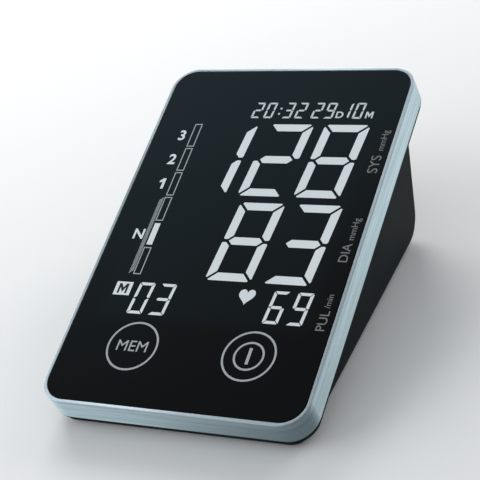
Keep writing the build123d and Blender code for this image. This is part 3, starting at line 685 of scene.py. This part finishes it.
def letters(name, text, middle, height, material, turned=False, weight=0.0):
    """Plain letters of this height, centred on a place of the lens; turned ones read upwards."""
    curve = bpy.data.curves.new(name, "FONT")
    curve.body = text
    curve.offset = weight
    curve.extrude = letter_depth
    holder = bpy.data.objects.new(name + "_curve", curve)
    bpy.context.scene.collection.objects.link(holder)
    bpy.context.view_layer.update()
    data = bpy.data.meshes.new_from_object(holder)
    bpy.data.objects.remove(holder)
    low = Vector([min(point.co[axis] for point in data.vertices) for axis in range(3)])
    high = Vector([max(point.co[axis] for point in data.vertices) for axis in range(3)])
    size = height / (high.y - low.y)
    flat = Matrix.Diagonal((size, size, inlay_top / letter_depth, 1.0))
    turn = Matrix.Rotation(radians(90) if turned else 0.0, 4, "Z")
    spot = Matrix.Translation((middle[0], -middle[1], 0.0))
    data.transform(glass @ spot @ turn @ flat @ Matrix.Translation(-(low + high) / 2))
    data.materials.clear()
    data.name = name
    join_lens(name, data, material)


def sign(name, outline, material, corner=(0.0, 0.0), size=1.0, lift=0.0):
    """A plate of this outline, which is given in shares of its size from a corner."""
    mesh = bmesh.new()
    add_plate(mesh, [(corner[0] + x * size, corner[1] + y * size) for x, y in outline], lift)
    lay_in(mesh, name, material)


printed_silver = lit_finish("printed_silver", (0.40, 0.43, 0.44), 0.02)
printed_grey = lit_finish("printed_grey", (0.20, 0.205, 0.20), 0.0)
dark_ink = lit_finish("dark_ink", (0.008, 0.011, 0.014), 0.0)

bold = 0.022
letters("clock_day_letter", "D", (0.7580, 0.2255), 0.032, lit_fine, weight=bold)
letter_m = [(0.00, 1.00), (0.00, 0.00), (0.24, 0.00), (0.47, 0.44), (0.70, 0.00), (0.94, 0.00)]
letter_m += [(0.94, 1.00), (0.75, 1.00), (0.75, 0.36), (0.47, 0.88), (0.19, 0.36), (0.19, 1.00)]
sign("clock_month_letter", letter_m, lit_fine, (0.862, 0.2095), 0.032)

mark_column = 0.127
mark_height = 0.050
for mark, mark_down in (("3", 0.335), ("2", 0.455)):
    letters(f"scale_mark_{mark}", mark, (mark_column, mark_down), mark_height, lit_white, weight=bold)
letters("scale_mark_n", "N", (0.120, 0.815), 0.046, lit_white, weight=bold)
figure_one = [(0.0, 0.0), (0.22, 0.0), (0.22, 1.0), (0.0, 1.0), (0.0, 0.32), (-0.26, 0.42), (-0.26, 0.24)]
sign("scale_mark_1", figure_one, lit_white, (mark_column, 0.575 - mark_height / 2), mark_height)

memory_left = 0.116
memory_top = 1.032
memory_box = box_outline(memory_left, memory_top, memory_left + 0.068, memory_top + 0.058)
sign("memory_box", memory_box, lit_white)
sign("memory_letter", letter_m, dark_ink, (memory_left + 0.014, memory_top + 0.008), 0.042, inlay_top)

label_across = 0.960
unit_across = 0.968
for label_name, label_text, label_middle, label_height in (
    ("systolic_label", "SYS", (label_across, 0.459), 0.039),
    ("systolic_unit", "mmHg", (unit_across, 0.347), 0.033),
    ("diastolic_label", "DIA", (label_across, 0.854), 0.034),
    ("diastolic_unit", "mmHg", (unit_across, 0.751), 0.033),
    ("pulse_label", "PUL", (label_across, 1.137), 0.034),
    ("pulse_unit", "/min", (label_across, 1.058), 0.023),
):
    letters(label_name, label_text, label_middle, label_height, printed_grey, turned=True)

heart_corner = (0.6495, 1.0585)
heart_size = 0.00196
heart_slimness = 1.16
heart_steps = 64
heart_outline = []
for step in range(heart_steps):
    turn = 2 * pi * step / heart_steps
    heart_x = 16 * sin(turn) ** 3
    heart_y = 13 * cos(turn) - 5 * cos(2 * turn) - 2 * cos(3 * turn) - cos(4 * turn)
    heart_outline.append((heart_x, -heart_y * heart_slimness))
sign("heart_sign", heart_outline, lit_white, heart_corner, heart_size)

# Risk scale. Six framed boxes up the display's left side, the one that applies filled, and a
# hatched strip beside the three lowest.
scale_left = 0.165
scale_right = 0.197
scale_edges = (0.273, 0.395, 0.515, 0.635, 0.755, 0.870, 1.000)
scale_line = 0.004
scale_gap = 0.004
scale_reading = 4
scale = bmesh.new()
for number, (upper, lower) in enumerate(zip(scale_edges, scale_edges[1:])):
    outer, inner = [
        box_outline(
            scale_left + inset,
            upper + scale_gap + inset,
            scale_right - inset,
            lower - scale_gap - inset,
        )
        for inset in (0.0, scale_line)
    ]
    if number == scale_reading:
        sign("scale_reading", inner, lit_white)
    else:
        add_band(scale, outer, inner)
lay_in(scale, "risk_scale", printed_silver)

hatch_left = 0.146
hatch_right = 0.162
hatch_top = 0.640
hatch_bottom = 0.998
hatch_count = 44
hatch_pitch = (hatch_bottom - hatch_top) / hatch_count
hatch_rise = 2 * hatch_pitch
hatch_line = 0.5 * hatch_pitch
hatch = bmesh.new()
for number in range(hatch_count - 2):
    upper = hatch_top + number * hatch_pitch
    add_plate(
        hatch,
        [
            (hatch_left, upper + hatch_rise),
            (hatch_right, upper),
            (hatch_right, upper + hatch_line),
            (hatch_left, upper + hatch_rise + hatch_line),
        ],
    )
lay_in(hatch, "scale_hatch", printed_silver)

# Touch keys. A ring with a word for the memory key, and two rings with a bar for power, printed in
# silver behind the lens over their electrodes.
key_down = 1.2985
memory_key = (0.2825, key_down)
power_key = (0.7375, key_down)
ring_line = 0.0075
ring_steps = 96


def circle(middle, radius):
    """Points round a circle on the lens."""
    turns = [2 * pi * step / ring_steps for step in range(ring_steps)]
    return [(middle[0] + radius * cos(turn), middle[1] + radius * sin(turn)) for turn in turns]


rings = bmesh.new()
for key, ring_radius in ((memory_key, 0.1003), (power_key, 0.0998), (power_key, 0.0570)):
    add_band(rings, circle(key, ring_radius), circle(key, ring_radius - ring_line))
power_bar_half = (0.0058, 0.0325)
add_plate(
    rings,
    box_outline(
        power_key[0] - power_bar_half[0],
        power_key[1] - power_bar_half[1],
        power_key[0] + power_bar_half[0],
        power_key[1] + power_bar_half[1],
    ),
)
lay_in(rings, "key_rings", printed_silver)
letters("memory_key_word", "MEM", memory_key, 0.043, printed_silver)

# Bezel. A deep moulded frame with a brushed, blue-silver metal coat on its walls and a narrow
# polished rim round the lens. The coat stops just short of the frame's black back edge.
coat_end = 0.0100
rim_depth = 0.0011
streak_run = 25
streak_fineness = 4200
streak_depth = 0.000012


def brushed_bezel(name, wall_colour, rim_colour):
    """Metal coat, brushed along the frame's sides and polished on the rim."""
    finish = Finish(name)
    place = finish.place()
    depth = lens_face - finish.axis(place, tuple(lens_out))
    across = finish.axis(place, (1.0, 0.0, 0.0))
    up = finish.axis(place, tuple(lens_up))
    along_streaks = {0: across * streak_run, 1: up * streak_run, 2: depth * streak_fineness}
    brushed = finish.noise(finish.node("CombineXYZ", {}, along_streaks), 1.0)
    cloud_size = 0.03
    rim = finish.ramp(depth, rim_depth, rim_depth - 0.0003)
    coated = finish.ramp(depth, coat_end + 0.0001, coat_end - 0.0001)
    cloud = finish.noise(place, cloud_size, 3.0)
    duller = tuple(value * 0.66 for value in wall_colour)
    streaks = finish.ramp(brushed, 0.30, 0.70)
    wall = finish.mix(coated, (0.004, 0.007, 0.009), finish.mix(streaks, duller, wall_colour))
    return finish.surface(
        {
            "Base Color": finish.mix(rim, wall, rim_colour),
            "Metallic": coated * 0.95,
            "Roughness": 0.56 + (brushed - 0.5) * 0.14 + cloud * 0.05 - rim * 0.10,
            "Specular IOR Level": 0.1,
            "Anisotropic": 0.95,
            "Anisotropic Rotation": 0.25,
            "Normal": finish.bump(brushed * (1 - rim), streak_depth),
        }
    )


wall_silver = (0.46, 0.585, 0.625)
rim_silver = (0.36, 0.435, 0.48)
dress(brushed_bezel("brushed_bezel", wall_silver, rim_silver), "bezel_frame")

# Studio: a pale floor, a white surround that is dark only behind the camera, three soft lamps and
# the camera.
floor_half = 3.0
floor_down = -0.00002
floor_data = bpy.data.meshes.new("floor")
floor_corners = [
    (-floor_half, -floor_half, floor_down),
    (floor_half, -floor_half, floor_down),
    (floor_half, floor_half, floor_down),
    (-floor_half, floor_half, floor_down),
]
floor_data.from_pydata(floor_corners, [], [(0, 1, 2, 3)])
floor = bpy.data.objects.new("floor", floor_data)
bpy.context.scene.collection.objects.link(floor)
floor_finish = Finish("pale_floor")
floor_cloud = floor_finish.noise(floor_finish.place(), 0.4, 2.0)
floor_data.materials.append(
    floor_finish.surface(
        {
            "Base Color": floor_finish.mix(floor_cloud, (0.80, 0.80, 0.80), (0.82, 0.82, 0.82)),
            "Roughness": 0.9,
            "Specular IOR Level": 0.1,
        }
    )
)

studio = Finish("studio", "worlds")
bpy.context.scene.world = studio.data
seen = studio.node("LightPath", output="Is Camera Ray")
mirrored = studio.node("LightPath", output="Is Glossy Ray")
through = studio.node("LightPath", output="Is Transmission Ray")
dark_side = (0.788, -0.616, 0.0)
dark_start = 0.08
dark_full = 0.54
ambient_strength = 0.50
toward_dark = studio.axis(studio.node("TexCoord", output="Generated"), dark_side)
dark_share = studio.ramp(toward_dark, dark_start, dark_full) * mirrored
surround = studio.mix(dark_share, (1.0, 1.0, 1.0), (0.03, 0.035, 0.04))
ambient_colour = (0.92, 0.96, 1.0, 1.0)
ambient = studio.node("Background", {}, {"Color": ambient_colour, "Strength": ambient_strength})
backdrop = studio.node("Background", {}, {"Color": surround, "Strength": 1.0})
shown = seen.math("MAXIMUM", seen.math("MAXIMUM", seen, mirrored), through)
studio_light = studio.node("MixShader", {}, {0: shown, 1: ambient, 2: backdrop})
studio.node("OutputWorld", {}, {"Surface": studio_light})

aim = Vector((0.0, 0.0, 0.03))
for lamp_name, lamp_place, lamp_size, lamp_watts, lamp_colour in (
    ("key_lamp", (-0.55, 0.80, 0.55), 0.7, 8.0, (1.0, 0.99, 0.97)),
    ("fill_lamp", (-0.8, -0.4, 0.5), 0.8, 4.5, (0.95, 0.98, 1.0)),
    ("side_lamp", (0.60, 1.00, 0.6), 0.6, 3.5, (1.0, 1.0, 1.0)),
):
    lamp_data = bpy.data.lights.new(lamp_name, "AREA")
    lamp_data.size = lamp_size
    lamp_data.energy = lamp_watts
    lamp_data.color = lamp_colour
    lamp = bpy.data.objects.new(lamp_name, lamp_data)
    lamp.location = lamp_place
    lamp.rotation_mode = "QUATERNION"
    lamp.rotation_quaternion = (aim - lamp.location).to_track_quat("-Z", "Y")
    bpy.context.scene.collection.objects.link(lamp)

bpy.context.scene.view_settings.view_transform = "Standard"

camera_azimuth = radians(32.3)
camera_elevation = radians(32.4)
camera_roll = radians(-15.9)
camera_distance = 0.525
camera_back = Vector(
    (
        sin(camera_azimuth) * cos(camera_elevation),
        -cos(camera_azimuth) * cos(camera_elevation),
        sin(camera_elevation),
    )
)
camera_data = bpy.data.cameras.new("studio_camera")
camera_data.sensor_width = 36.0
camera_data.lens = 109.0
camera = bpy.data.objects.new("studio_camera", camera_data)
camera.location = aim + camera_back * camera_distance
camera.rotation_mode = "QUATERNION"
level_view = (-camera_back).to_track_quat("-Z", "Y")
camera.rotation_quaternion = level_view @ Quaternion((0.0, 0.0, 1.0), camera_roll)
bpy.context.scene.collection.objects.link(camera)
bpy.context.scene.camera = camera
